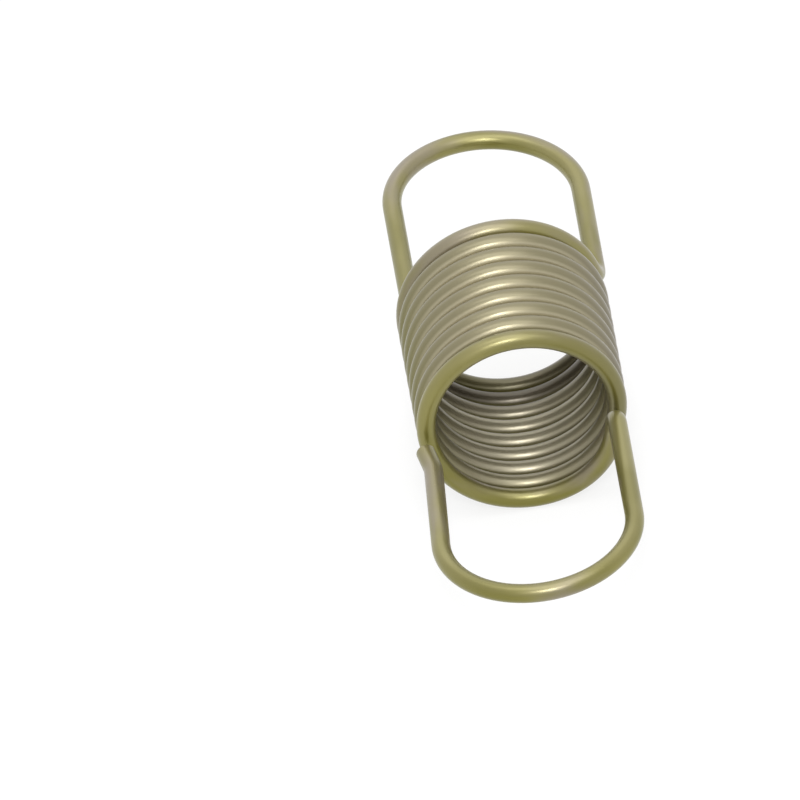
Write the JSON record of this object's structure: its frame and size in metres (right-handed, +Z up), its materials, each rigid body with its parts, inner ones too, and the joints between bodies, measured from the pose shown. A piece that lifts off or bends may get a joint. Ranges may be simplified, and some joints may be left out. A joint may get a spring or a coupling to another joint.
{
  "type": "extension spring",
  "caption": "Round-wire extension spring: a close-wound coil with a long half-round loop at each end, in satin yellow zinc.",
  "frame": {"origin": "centre of the footprint, on the surface the coil lies on", "axes": "+Y along the coil's axis towards the back loop, whose cut end is straight; the flared cut end is towards -Y; +Z up"},
  "size_m": [0.0436, 0.1442, 0.042],
  "materials": {
    "zinc_wire": "satin steel wire, yellow-passivated zinc, olive to straw with a grey sheen"
  },
  "bodies": {
    "root": {"extension_spring": "zinc_wire"}
  },
  "joints": []
}
